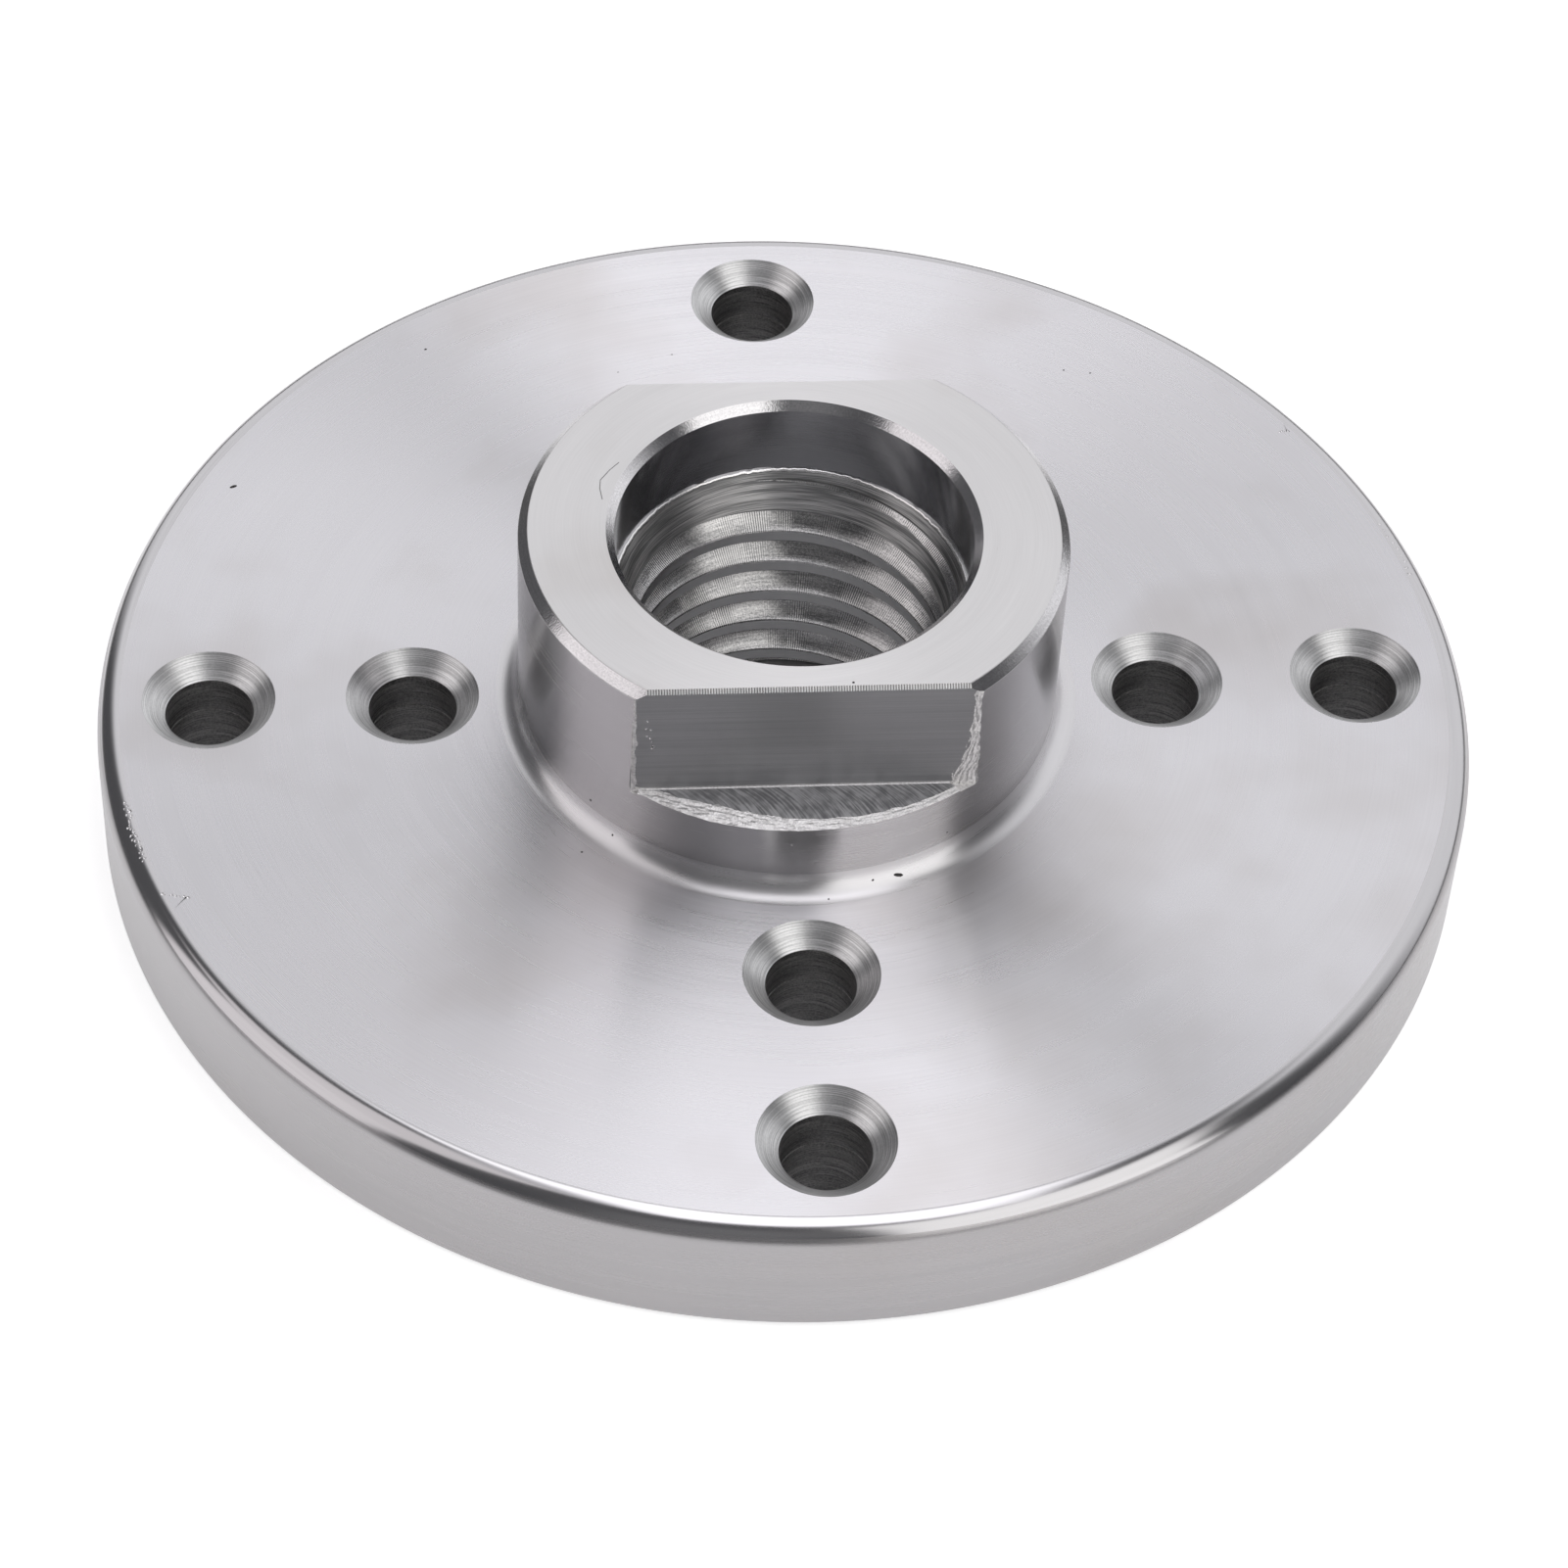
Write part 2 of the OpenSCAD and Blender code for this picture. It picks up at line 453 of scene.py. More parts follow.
# The thread's root is coloured dark: painted shade in the bottom of the groove.
thread_root_painted_shade = turned_finish("thread_root_steel", (0.40, 0.40, 0.40), (0.20, 0.20, 0.20),
                            0.40, 0.6, 0.10, 0.5, tone=0.3)


def heading(step, steps):
    """The level direction of one step round a tool."""
    turn = 2 * math.pi * step / steps
    return Vector((math.cos(turn), math.sin(turn), 0))


def torn_lip(step, radius, height):
    """Tears the lip at the shelf's inner edge. Every other ring of the bore stays true."""
    on_lip = lead_top_r - tiny < radius < lead_top_r + shelf_edge_r + tiny
    if not (on_lip and height > shelf_z - lip_depth):
        return radius, height
    way = heading(step, lathe_steps)
    tear = noise.noise(way * 28) + 0.7 * noise.noise(way * 90)
    nick = max(0.0, noise.noise(way * 14 + Vector((4, 0, 0))) - 0.3)
    return radius + lip_tear * tear + nick_width * nick, height + lip_tear * tear - nick_drop * nick


bore_outline = (
    cut(chamfer, (0, -overrun), (crest_r + exit_chamfer + overrun, -overrun), (crest_r, exit_chamfer))
    + cut(thread_crest, (crest_r, exit_chamfer), (crest_r, lead_foot_z))
    + cut(lead_cone, (crest_r, lead_foot_z), (lead_top_r, shelf_z - shelf_edge_r))
    + sweep((lead_top_r + shelf_edge_r, shelf_z - shelf_edge_r), shelf_edge_r, 180, 90, 4,
            shelf_ring_painted_highlight)
    + cut(shelf_ring_painted_highlight, (lead_top_r + shelf_edge_r, shelf_z), (register_r, shelf_z))
    + cut(register_wall_painted_shade, (register_r, shelf_z), (register_r, shoulder_z - mouth_chamfer))
    + cut(chamfer, (register_r, shoulder_z - mouth_chamfer),
          (register_r + mouth_chamfer + overrun, shoulder_z + overrun),
          (0, shoulder_z + overrun), (0, -overrun))
)
boring_bar = revolve("boring_bar", bore_outline, lathe_steps, ragged=torn_lip)


def groove_side(side):
    """One side of the thread's groove: the tool's worn edge cut it a little hollow."""
    spots = [(radius, side * half_width) for radius, half_width, _ in flank_marks]
    leans = [math.radians(lean) for _, _, lean in flank_marks]
    normals = [(math.sin(lean), side * math.cos(lean)) for lean in leans]
    cuts = [(spots[i], spots[i + 1], normals[i], normals[i + 1], thread_flank)
            for i in range(len(spots) - 1)]
    return cuts if side < 0 else [(b, a, n, m, finish) for a, b, m, n, finish in reversed(cuts)]


mouth_r = crest_r - crest_clearance
mouth_half_width = flank_marks[0][1] + crest_ease
deepest, root_half_width, root_lean = flank_marks[-1]
root_round_r = root_half_width / math.cos(math.radians(root_lean))
root_middle_r = deepest - root_round_r * math.sin(math.radians(root_lean))
groove_outline = (
    cut(thread_flank, (tool_reach_r, -mouth_half_width), (mouth_r, -mouth_half_width),
        (flank_marks[0][0], -flank_marks[0][1]))
    + groove_side(-1)
    + sweep((root_middle_r, 0), root_round_r, root_lean - 90, 90 - root_lean, 4, thread_root_painted_shade)
    + groove_side(1)
    + cut(thread_flank, flank_marks[0][:2], (mouth_r, mouth_half_width),
          (tool_reach_r, mouth_half_width), (tool_reach_r, -mouth_half_width))
)


def wind_thread(name, cuts):
    """The shape that the threading tool sweeps on its way down the bore."""
    rise = thread_pitch / thread_steps
    first = math.floor((thread_from_z - groove_height) / rise)
    last = math.ceil((thread_to_z - groove_height) / rise)
    points, faces, normals, face_finishes = [], [], [], []
    for step in range(first, last + 1):
        angle = 2 * math.pi * step / thread_steps
        for (radius, offset), _, _, _, _ in cuts:
            points.append((radius * math.cos(angle), radius * math.sin(angle),
                           groove_height + rise * step + offset))
    corners = len(cuts)
    climb = thread_pitch / (2 * math.pi)

    def helix_normal(radius, step, normal):
        angle = 2 * math.pi * step / thread_steps
        around = Vector((-radius * math.sin(angle), radius * math.cos(angle), climb))
        across = Vector((-normal[1] * math.cos(angle), -normal[1] * math.sin(angle), normal[0]))
        return tuple(around.cross(across).normalized())

    for step in range(last - first):
        for i, (start, end, normal_a, normal_b, finish) in enumerate(cuts):
            j = (i + 1) % corners
            a, b = step * corners, (step + 1) * corners
            faces.append([a + i, b + i, b + j, a + j])
            normals.append([helix_normal(spot[0], first + s, normal) for spot, s, normal in (
                (start, step, normal_a), (start, step + 1, normal_a),
                (end, step + 1, normal_b), (end, step, normal_b))])
            face_finishes.append(finish)
    for base, order in ((0, range(corners)), ((last - first) * corners, reversed(range(corners)))):
        faces.append([base + i for i in order])
        normals.append([(0.0, 0.0, 1.0)] * corners)
        face_finishes.append(thread_flank)
    return make_solid(name, points, faces, normals, face_finishes)


threading_tool = wind_thread("threading_tool", groove_outline)


# Screw holes: eight, drilled through from the hub side and countersunk for wood screws. The
# countersink chattered a little, and the drill left dark, rough walls with a faint bright ring
# where it paused.
drill_r = 3.25
countersink_r = 4.9
countersink_half_angle = math.radians(50)
inner_circle_r = 27.65
outer_circle_r = 42.6
exit_break = 0.12
step_z = 5.6
step_width = 0.10
step_wander = 0.06
hole_steps = 128

countersink = turned_finish("countersink_steel", (0.84, 0.84, 0.84), (0.46, 0.46, 0.46),
                            0.36, 0.5, 0.15, 1.0, tone=0.20, grain=0.15, runs=0.9, fine_share=0.75)
drilled_wall = turned_finish("drilled_steel", (0.56, 0.55, 0.55), (0.20, 0.20, 0.20),
                             0.42, 0.3, 0.16, 1.0, tone=0.20, grain=0.35, runs=1.0, fine_share=0.75)
drill_step = turned_finish("drill_step_steel", (1.0, 0.99, 0.98), (0.50, 0.50, 0.50),
                           0.60, 0.0, 0.10, 0.5, tone=0.3, grain=0.6)


def scored_wall(step, radius, height):
    """Varies the ring where the drill paused, so that it fades and wanders on its way round."""
    near_step = abs(height - step_z + step_width / 2) < step_width
    if not (near_step and radius > drill_r - tiny):
        return radius, height
    way = heading(step, hole_steps)
    height += step_wander * noise.noise(way * 2.0)
    if radius > drill_r + tiny:
        radius = drill_r + step_width * max(0.1, 0.7 + 1.2 * noise.noise(way * 5.0))
    return radius, height


countersink_z = flange_t - (countersink_r - drill_r) / math.tan(countersink_half_angle)
step_foot_z = step_z - step_width
hole_outline = (
    cut(chamfer, (0, -overrun), (drill_r + exit_break + overrun, -overrun), (drill_r, exit_break))
    + cut(drilled_wall, (drill_r, exit_break), (drill_r, step_foot_z))
    + cut(drill_step, (drill_r, step_foot_z), (drill_r + step_width, step_foot_z))
    + cut(drilled_wall, (drill_r + step_width, step_foot_z), (drill_r, step_z),
          (drill_r, countersink_z))
    + cut(countersink, (drill_r, countersink_z), (countersink_r, flange_t),
          (countersink_r + overrun, flange_t + overrun))
    + cut(chamfer, (countersink_r + overrun, flange_t + overrun), (0, flange_t + overrun),
          (0, -overrun))
)
drills = []
for circle_r in (inner_circle_r, outer_circle_r):
    for quarter in range(4):
        angle = quarter * math.pi / 2
        spot = (circle_r * math.cos(angle), circle_r * math.sin(angle))
        drills.append(revolve(f"drill_{len(drills)}", hole_outline, hole_steps, spot, scored_wall))


# Wrench flats: two, milled across the hub on a horizontal machine. The side of the cutter left
# long level lines on each flat, its end left curved swirls on the ledge below, and a pass with a
# chamfer tool broke the top edge and left fine ticks.
flat_y = 15.75
ledge_z = 16.5
flat_chamfer = 0.28
ledge_fillet_r = 0.14
mill_reach = 22.0
end_mill_r = 8.0
end_mill_y = 22.0
tooth_pitch = 0.19 * mm
swirl_pitch = 0.19 * mm
swirl_runs = 420.0


def streaks(material, spot, stretch, detail, roughness=0.5):
    """Noise stretched by its own amount along each axis."""
    return cloud(material, vectors(material, "MULTIPLY", spot, stretch), 1.0, detail, roughness)


def milled_finish(name, colour, dark, roughness, brushing, pattern, depth, tone=0.32):
    """Steel as a milling cutter leaves it. pattern is level lines, ticks or swirls."""
    fine_share = 0.7
    material = new_finish(name)
    spot = add(material, "ShaderNodeTexCoord").outputs["Object"]
    facing = add(material, "ShaderNodeNewGeometry").outputs["Normal"]
    if pattern == "lines":
        fine = streaks(material, spot, (60.0, 1.0, 11000.0), 4.0, 0.7)
        broad = streaks(material, spot, (20.0, 1.0, 1800.0), 2.0)
        along = vectors(material, "CROSS_PRODUCT", facing, (0.0, 0.0, 1.0))
    elif pattern == "ticks":
        across = add(material, "ShaderNodeSeparateXYZ", {0: spot}).outputs["X"]
        turns = times(material, across, 2 * math.pi / tooth_pitch)
        teeth = times(material, maths(material, "SINE", turns), 0.20)
        fine = maths(material, "ADD", teeth, 0.55)
        broad = streaks(material, spot, (700.0, 1.0, 900.0), 3.0)
        along = vectors(material, "CROSS_PRODUCT", facing, (1.0, 0.0, 0.0))
    else:
        place = add(material, "ShaderNodeSeparateXYZ", {0: spot})
        outward = maths(material, "ABSOLUTE", place.outputs["Y"])
        from_mill = maths(material, "SUBTRACT", outward, end_mill_y * mm)
        squared = times(material, from_mill, from_mill)
        left_over = maths(material, "SUBTRACT", (end_mill_r * mm) ** 2, squared)
        half_chord = maths(material, "SQRT", maths(material, "MAXIMUM", 0.0, left_over))
        swirl = maths(material, "SUBTRACT", place.outputs["X"], half_chord)
        strokes = add(material, "ShaderNodeCombineXYZ", {
            0: maths(material, "DIVIDE", swirl, swirl_pitch),
            1: times(material, from_mill, swirl_runs),
        })
        fine = cloud(material, strokes.outputs[0], 1.0, 2.0, 0.6)
        broad = cloud(material, spot, 1300.0, 2.0)
        side = maths(material, "SIGN", place.outputs["Y"])
        arm = add(material, "ShaderNodeCombineXYZ", {
            0: half_chord, 1: times(material, from_mill, side),
        })
        along = vectors(material, "CROSS_PRODUCT", facing, arm.outputs[0])
    mixed = weigh(material, fine, broad, fine_share)
    shade = spread(material, mixed, 0.5 - tone / 2, 0.5 + tone / 2, 0.0, 1.0)
    steel = blend_colour(material, shade, dark, colour)
    gloss = spread(material, mixed, 0.35, 0.65, roughness * 0.85, roughness * 1.15)
    return lay_finish(material, steel, gloss, brushing, along, mixed, depth, tallest=0.03)


milled_flat = milled_finish("milled_flat_steel", (0.46, 0.46, 0.47), (0.36, 0.36, 0.37),
                            0.34, 0.7, "lines", 0.5, tone=0.28)
milled_ledge = milled_finish("milled_ledge_steel", (0.68, 0.68, 0.69), (0.34, 0.34, 0.35),
                             0.52, 0.2, "swirls", 1.0, tone=0.16)
ticked_edge = milled_finish("ticked_edge_steel", (0.92, 0.91, 0.91), (0.40, 0.40, 0.40),
                            0.28, 0.3, "ticks", 0.6)
ledge_foot = turned_finish("ledge_foot_steel", (0.86, 0.85, 0.85), (0.62, 0.61, 0.61),
                           0.34, 0.0, 0.10, 0.4, tone=0.3, grain=0.6)

mill_far_y = flat_y + mill_reach
mill_near_y = flat_y - flat_chamfer - overrun
mill_top_z = shoulder_z + overrun
ledge_fillet_centre = (flat_y + ledge_fillet_r, ledge_z + ledge_fillet_r)
mill_outline = (
    cut(milled_flat, (mill_far_y, mill_top_z), (mill_near_y, mill_top_z))
    + cut(ticked_edge, (mill_near_y, mill_top_z), (flat_y, shoulder_z - flat_chamfer))
    + cut(milled_flat, (flat_y, shoulder_z - flat_chamfer), (flat_y, ledge_z + ledge_fillet_r))
    + sweep(ledge_fillet_centre, ledge_fillet_r, 180, 270, 4, ledge_foot)
    + cut(milled_ledge, (flat_y + ledge_fillet_r, ledge_z), (mill_far_y, ledge_z))
    + cut(milled_flat, (mill_far_y, ledge_z), (mill_far_y, mill_top_z))
)


def mill_across(name, cuts, side):
    """Draws an outline of (distance from the axis, height) across the hub, on one side of it."""
    points, faces, normals, face_finishes = [], [], [], []
    for start, _, _, _, _ in cuts:
        for end in (-mill_reach, mill_reach):
            points.append((side * end, side * start[0], start[1]))
    for i, (_, _, normal_a, normal_b, finish) in enumerate(cuts):
        j = (i + 1) % len(cuts)
        faces.append([2 * i, 2 * j, 2 * j + 1, 2 * i + 1])
        a, b = (0.0, side * normal_a[0], normal_a[1]), (0.0, side * normal_b[0], normal_b[1])
        normals.append([a, b, b, a])
        face_finishes.append(finish)
    for end, order in ((0, reversed(range(len(cuts)))), (1, range(len(cuts)))):
        faces.append([2 * i + end for i in order])
        normals.append([(side * (2.0 * end - 1.0), 0.0, 0.0)] * len(cuts))
        face_finishes.append(milled_flat)
    return make_solid(name, points, faces, normals, face_finishes)


milling_cutters = [mill_across("front_mill", mill_outline, -1),
                   mill_across("back_mill", mill_outline, 1)]


# Filed edges: the burrs that milling raised round each ledge and up the corners of the flats were
# filed off by hand, more on one side than on the other. Those edges are broad and rough, and coloured
# near white: partly the bright filed metal, partly a painted highlight.
file_cell = 0.1
ledge_bite = 0.06
corner_bite = 0.09
file_overrun = 0.15
file_clearance = 1.2
ledge_slope = 0.25
ledge_drop = 0.05
stroke_pitch = 1.1
stroke_share = 0.8
lump_share = 0.35
corner_below = 0.3
corner_above = 0.2
corner_lap = 0.1
corner_slope = 0.12
corner_angle = math.degrees(math.acos(flat_y / hub_r))

# Colour near white: partly the bright filed metal, partly a painted highlight.
filed_steel_and_painted_highlight = turned_finish("filed_steel_and_painted_highlight", (0.98, 0.97, 0.96), (0.66, 0.65, 0.65),
                            0.45, 0.0, 0.10, 0.5, tone=0.24, grain=0.6)


def blend_widths(share, widths):
    """A width read between marks of (share of the way along the edge, width)."""
    return float(np.interp(share, [w[0] for w in widths], [w[1] for w in widths]))


def loft(name, points, ring, finish, facing=None):
    """A solid through a row of sections with so many points each. It has flat faces, or all its
    normals point the way of facing."""
    sections = len(points) // ring
    faces, normals = [], []
    for i in range(sections - 1):
        for k in range(ring):
            j = (k + 1) % ring
            face = [i * ring + k, i * ring + j, (i + 1) * ring + j, (i + 1) * ring + k]
            a, b, c, d = (Vector(points[corner]) for corner in face)
            faces.append(face)
            normals.append([facing or tuple((c - a).cross(d - b).normalized())] * 4)
    for base, order in ((0, reversed(range(ring))), ((sections - 1) * ring, range(ring))):
        faces.append([base + k for k in order])
        normals.append([(0.0, 0.0, 1.0)] * ring)
    return make_solid(name, points, faces, normals, [finish] * len(faces))


def file_off(name, limits, bite, seed):
    """Files a rough facet off an edge. limits says, all along the edge, where the facet starts on
    one face and where it ends on the other."""
    widest = max((far - near).length for near, far in limits)
    cells = max(3, round((widest + 2 * file_overrun) / file_cell))
    points = []
    for i, (near, far) in enumerate(limits):
        before, after = limits[max(i - 1, 0)][0], limits[min(i + 1, len(limits) - 1)][0]
        across = (far - near).normalized()
        outward = (after - before).cross(across).normalized()
        if outward.dot(near - Vector((0, 0, flange_t))) < 0:
            outward.negate()
        start = near - across * file_overrun
        reach = (far - near).length + 2 * file_overrun
        for k in range(cells + 1):
            spot = start + across * reach * k / cells
            stroke = noise.noise(Vector((i * file_cell * stroke_pitch, reach * k / cells * 5.0, seed)))
            lump = noise.noise(spot * 9.0)
            rough = stroke_share * stroke + lump_share * lump
            points.append(tuple(spot + outward * bite * rough))
        points.append(tuple((near + far) / 2 + outward * file_clearance))
    return loft(name, points, cells + 2, filed_steel_and_painted_highlight)


def file_ledge(name, middle, widths, seed):
    """Files the outer edge of one ledge. middle is the way that its flat faces, in degrees."""
    count = round(2 * math.radians(corner_angle) * hub_r / file_cell)
    limits = []
    for step in range(count + 1):
        share = step / count
        angle = math.radians(middle + corner_angle * (2 * share - 1))
        way = Vector((math.cos(angle), math.sin(angle), 0))
        width = blend_widths(share, widths)
        on_ledge = way * (hub_r - width) + Vector((0, 0, ledge_z))
        on_hub = way * hub_r + Vector((0, 0, ledge_z - ledge_drop - ledge_slope * width))
        limits.append((on_ledge, on_hub))
    return file_off(name, limits, ledge_bite, seed)


def file_corner(name, side, end, widths, seed):
    """Files one upright corner of a flat. side is -1 for the front flat, end is -1 for its left."""
    corner_x = math.sqrt(hub_r ** 2 - flat_y ** 2)
    bottom = ledge_z - corner_below
    top = shoulder_z + corner_above
    count = round((top - bottom) / file_cell)
    limits = []
    for step in range(count + 1):
        share = step / count
        height = bottom + (top - bottom) * share
        width = blend_widths(share, widths)
        angle = math.atan2(corner_x, flat_y) + (corner_lap + corner_slope * width) / hub_r
        on_flat = Vector((end * (corner_x - width), side * flat_y, height))
        on_hub = Vector((end * hub_r * math.sin(angle), side * hub_r * math.cos(angle), height))
        limits.append((on_flat, on_hub))
    return file_off(name, limits, corner_bite, seed)


# Widths of the filed facets, as (share of the way along the edge, width)
front_widths = [(0, 0.08), (0.03, 0.42), (0.06, 0.85), (0.25, 1.3), (0.5, 0.85), (0.75, 0.6),
                (0.95, 0.45), (1, 0.08)]
back_widths = [(0, 0.08), (0.05, 0.5), (0.4, 0.8), (0.8, 0.6), (0.96, 0.4), (1, 0.08)]
broad_corner = [(0, 1.6), (0.12, 1.45), (0.22, 1.0), (0.4, 0.6), (0.7, 0.42), (1, 0.35)]
slight_corner = [(0, 0.25), (0.15, 0.08), (1, 0.05)]
files = [
    file_ledge("front_ledge_file", 270, front_widths, 1.0),
    file_ledge("back_ledge_file", 90, back_widths, 2.0),
    file_corner("front_right_file", -1, 1, broad_corner, 3.0),
    file_corner("front_left_file", -1, -1, slight_corner, 4.0),
    file_corner("back_right_file", 1, 1, slight_corner, 5.0),
    file_corner("back_left_file", 1, -1, broad_corner, 6.0),
]


# Flaws: small pits from the bar that the turning opened, bright nicks from knocks along the rim
# and on the flat, and one hair scratch across the shoulder.
pit_steel = turned_finish("pit_steel", (0.14, 0.13, 0.13), (0.05, 0.05, 0.05),
                          0.60, 0.0, 0.05, 0.5, grain=0.8)
pit_lumps = 0.5
nick_share = 0.6
nick_stretch = 1.5
nick_places = random.Random(11)
flaws = {"points": [], "faces": [], "normals": [], "finishes": []}


def dent(spot, facing, size, depth, finish, turn=0.0, stretch=1.0):
    """Adds one small hollow: a lumpy bowl that sinks into the face it lies on."""
    facing = Vector(facing).normalized()
    side = facing.orthogonal().normalized()
    side.rotate(Quaternion(facing, math.radians(turn)))
    other = facing.cross(side)
    base = len(flaws["points"])
    rings = 5
    slices = 9
    shell = []
    for ring in range(rings + 1):
        down = math.pi * ring / rings
        girth = math.sin(down)
        for k in range(slices if 0 < ring < rings else 1):
            turned = 2 * math.pi * k / slices
            local = Vector((girth * math.cos(turned), girth * math.sin(turned), math.cos(down)))
            lumpy = 1 + pit_lumps * noise.noise(local * 1.3 + Vector(spot) * 3)
            away = (side * size * stretch * local.x + other * size * local.y
                    + facing * depth * local.z)
            shell.append((local, Vector(spot) + lumpy * away))
    flaws["points"] += [tuple(place) for _, place in shell]

    def number(ring, k):
        if ring == 0:
            return 0
        if ring == rings:
            return len(shell) - 1
        return 1 + (ring - 1) * slices + k % slices

    for ring in range(rings):
        for k in range(slices):
            face = [number(ring, k), number(ring + 1, k),
                    number(ring + 1, k + 1), number(ring, k + 1)]
            face = [n for i, n in enumerate(face) if n not in face[:i]]
            flaws["faces"].append([base + n for n in face])
            flaws["normals"].append([
                tuple((side * shell[n][0].x / stretch + other * shell[n][0].y
                       + facing * shell[n][0].z * size / depth).normalized())
                for n in face
            ])
            flaws["finishes"].append(finish)


up = (0, 0, 1)
# Pits as spot, facing, size, depth, turn in degrees and stretch
pits = [
    ((-41.06, 22.38, 10.0), up, 0.15, 0.12, 160, 2.0),
    ((-26.13, 37.5, 10.0), up, 0.09, 0.08, 0, 1.3),
    ((-15.93, 20.52, 10.0), up, 0.08, 0.08, 0, 1.2),
    ((-6.74, 36.41, 10.0), up, 0.06, 0.06, 30, 1.5),
    ((-11.08, 34.48, 10.0), up, 0.06, 0.06, 0, 1.0),
    ((24.14, 33.82, 10.0), up, 0.08, 0.08, 20, 1.2),
    ((26.21, 33.43, 10.0), up, 0.07, 0.07, 0, 1.2),
    ((-15.74, -15.83, 10.0), up, 0.08, 0.08, 0, 1.2),
    ((6.77, -19.17, 10.5), (0.25, -0.65, 0.7), 0.14, 0.12, 125, 2.6),
    ((7.08, -19.1, 10.55), (0.25, -0.65, 0.7), 0.09, 0.10, 150, 1.8),
    ((4.9, -19.65, 10.56), (0.17, -0.7, 0.7), 0.08, 0.08, 0, 1.2),
    ((1.66, -20.93, 10.09), (0.02, -0.3, 0.95), 0.07, 0.07, 0, 1.2),
    ((-15.02, -12.98, 12.37), (-0.76, -0.65, 0), 0.10, 0.08, 90, 1.3),
    ((-13.5, -14.88, 10.7), (-0.52, -0.6, 0.6), 0.08, 0.08, 0, 1.2),
    ((10.34, -16.94, 12.43), (0.52, -0.85, 0), 0.07, 0.06, 0, 1.0),
    ((3.1, -15.2, 26.4), up, 0.09, 0.08, 0, 1.2),
]
for spot, facing, size, depth, turn, stretch in pits:
    dent(spot, facing, size, depth, pit_steel, turn, stretch)


def knock(spot, facing, size):
    """One bright nick, of about the given size."""
    wide = size * nick_places.uniform(0.7, 1.3)
    dent(spot, facing, wide, wide * nick_share, chamfer, nick_places.uniform(0, 180), nick_stretch)


def nick_rim(from_angle, to_angle, count, tilts, size):
    """A row of bright nicks along the rounded rim, between two angles and two tilts in degrees."""
    for i in range(count):
        angle = math.radians(from_angle + (to_angle - from_angle) * (i + 0.5) / count)
        tilt = math.radians(nick_places.uniform(*tilts))
        facing = (math.sin(tilt) * math.cos(angle), math.sin(tilt) * math.sin(angle), math.cos(tilt))
        reach = rim_centre[0] + rim_round_r * math.sin(tilt)
        height = rim_centre[1] + rim_round_r * math.cos(tilt)
        knock((reach * math.cos(angle), reach * math.sin(angle), height), facing, size)


def nick_row(start, end, count, facing, size, scatter):
    """A row of bright nicks from one spot to another."""
    for i in range(count):
        share = (i + 0.5) / count
        spot = [a + (b - a) * share + nick_places.uniform(-scatter, scatter) * (1 - abs(f))
                for a, b, f in zip(start, end, facing)]
        knock(spot, facing, size)


nick_rim(-168.5, -161.5, 30, (6, 21), 0.10)
nick_rim(19.2, 11.8, 9, (8, 18), 0.11)
nick_row((-46.0, -18.8, flange_t), (-43.6, -19.25, flange_t), 8, (0, 0, 1), 0.11, 0.03)
nick_row((40.2, 26.33, flange_t), (41.2, 26.4, flange_t), 4, (0, 0, 1), 0.09, 0.05)
nick_row((-11.5, -flat_y, 23.6), (-10.7, -flat_y, 20.3), 9, (0, -1, 0), 0.07, 0.4)
nick_row((-2.2, -19.75, 15.4), (-0.9, -19.83, 14.6), 4, (-0.05, -1, 0), 0.06, 0.02)
nick_row((1.4, -19.8, 15.2), (2.4, -19.7, 14.5), 3, (0.1, -0.99, 0), 0.06, 0.02)
dents = make_solid("dents", flaws["points"], flaws["faces"], flaws["normals"], flaws["finishes"])


def hair_scratch(name, path, width, depth):
    """A fine groove along a path on the shoulder."""
    top = shoulder_z + 0.02
    points = []
    for i, (x, y) in enumerate(path):
        before, after = path[max(i - 1, 0)], path[min(i + 1, len(path) - 1)]
        along = Vector((after[0] - before[0], after[1] - before[1], 0)).normalized()
        side = Vector((-along.y, along.x, 0)) * width / 2
        points += [(x + side.x, y + side.y, top), (x - side.x, y - side.y, top),
                   (x, y, shoulder_z - depth)]
    return loft(name, points, 3, pit_steel, facing=(0.0, 0.0, 1.0))


scratch_path = [(-12.3, 7.27), (-13.0, 6.5), (-13.72, 5.48), (-13.8, 4.6), (-13.66, 3.46)]
scratch = hair_scratch("scratch", scratch_path, 0.09, 0.03)


# Cutting: each tool is taken out of the blank in the order of the job. The finishes and the true
# normals of the tools stay on the steel, so that rounds and walls shade as smoothly as turned ones.
tools = [boring_bar, threading_tool, *milling_cutters, *drills, *files, dents, scratch]
for solid in (faceplate, *tools):
    for material in finishes:
        solid.data.materials.append(material)

for tool in tools:
    pass_of_tool = faceplate.modifiers.new("cut", "BOOLEAN")
    pass_of_tool.operation = "DIFFERENCE"
    pass_of_tool.solver = "MANIFOLD"
    pass_of_tool.object = tool
    machined = bpy.data.meshes.new_from_object(
        faceplate.evaluated_get(bpy.context.evaluated_depsgraph_get()))
    faceplate.modifiers.remove(pass_of_tool)
    faceplate.data = machined
for tool in tools:
    bpy.data.objects.remove(tool)

